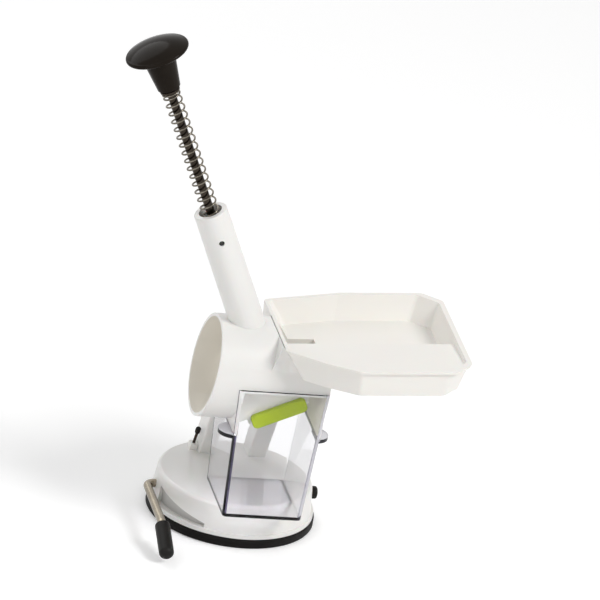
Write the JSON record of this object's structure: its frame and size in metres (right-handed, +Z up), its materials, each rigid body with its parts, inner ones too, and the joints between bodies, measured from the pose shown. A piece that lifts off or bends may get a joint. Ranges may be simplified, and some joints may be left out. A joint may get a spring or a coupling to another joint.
{
  "type": "cherry pitter",
  "caption": "Hand-pushed cherry pitter: leaning sprung plunger with a round knob over a barrel chute, side tray, clear pit box and two-legged column on a suction foot.",
  "frame": {"origin": "centre of the rubber foot's ring on the table", "axes": "+Z up; +X towards the cherry tray, across the plunger's upright plane; -Y towards the pit box's front"},
  "size_m": [0.242, 0.1614, 0.3451],
  "materials": {
    "white_shell": "satin white moulding",
    "cream_plastic": "satin cream moulding",
    "lime_plastic": "satin lime moulding",
    "bush_plastic": "matte natural plastic",
    "black_gloss": "glossy black",
    "black_matte": "matte black",
    "black_rubber": "matte black rubber",
    "clear_rubber": "milky soft rubber",
    "clear_plastic": "clear moulding",
    "steel": "polished steel",
    "spring_steel": "bright drawn wire",
    "brass": "turned"
  },
  "bodies": {
    "stand": {"suction_pad": "black_rubber", "base_shell": "white_shell", "column": "white_shell", "foot_screws": "steel", "housing": "white_shell", "housing_screws": "steel", "guide_tube": "white_shell", "tube_bush": "bush_plastic", "bush_pin": "steel", "stripper": "bush_plastic", "seat_insert": "lime_plastic", "seat_membrane": "clear_rubber", "return_spring": "spring_steel"},
    "lever": {"lever_rod": "steel", "lever_grip": "black_matte", "shaft_end_cap": "black_matte", "cam": "bush_plastic"},
    "stud": {"lift_stud": "bush_plastic"},
    "plunger": {"plunger_rod": "steel", "punch_tip": "steel", "stop_clip": "spring_steel", "spring_washer": "steel", "knob": "black_gloss", "knob_nut": "brass"},
    "pit_box": {"pit_container": "clear_plastic"},
    "tray": {"hopper_tray": "cream_plastic"},
    "lock": {"lock_pin": "steel", "lock_pin_tip": "black_matte"}
  },
  "joints": [
    {"name": "lever_turn", "type": "hinge", "parent": "stand", "child": "lever", "pos_m": [0, 0, 0.0173], "axis": [-1, 0, 0], "range_deg": [0, 100]},
    {"name": "stud_lift", "type": "slide", "parent": "stand", "child": "stud", "axis": [0, 0, -1], "range_m": [0, 0.00215]},
    {"name": "plunger_push", "type": "slide", "parent": "stand", "child": "plunger", "axis": [0.4289, 0, -0.9033], "range_m": [0, 0.046], "stiffness_N_per_m": 250, "springref_m": -0.02, "deforming": ["return_spring"]},
    {"name": "box_draw", "type": "slide", "parent": "stand", "child": "pit_box", "axis": [0, -1, 0], "range_m": [0, 0.065]},
    {"name": "tray_lift", "type": "slide", "parent": "stand", "child": "tray", "axis": [-0.0628, 0, 0.998], "range_m": [0, 0.03]},
    {"name": "pin_pull", "type": "slide", "parent": "stand", "child": "lock", "axis": [0, -0.454, 0.891], "range_m": [0, 0.009]}
  ],
  "couplings": [
    {"joint": "stud_lift", "follows": "lever_turn", "m_per_rad": 0.0012163}
  ]
}
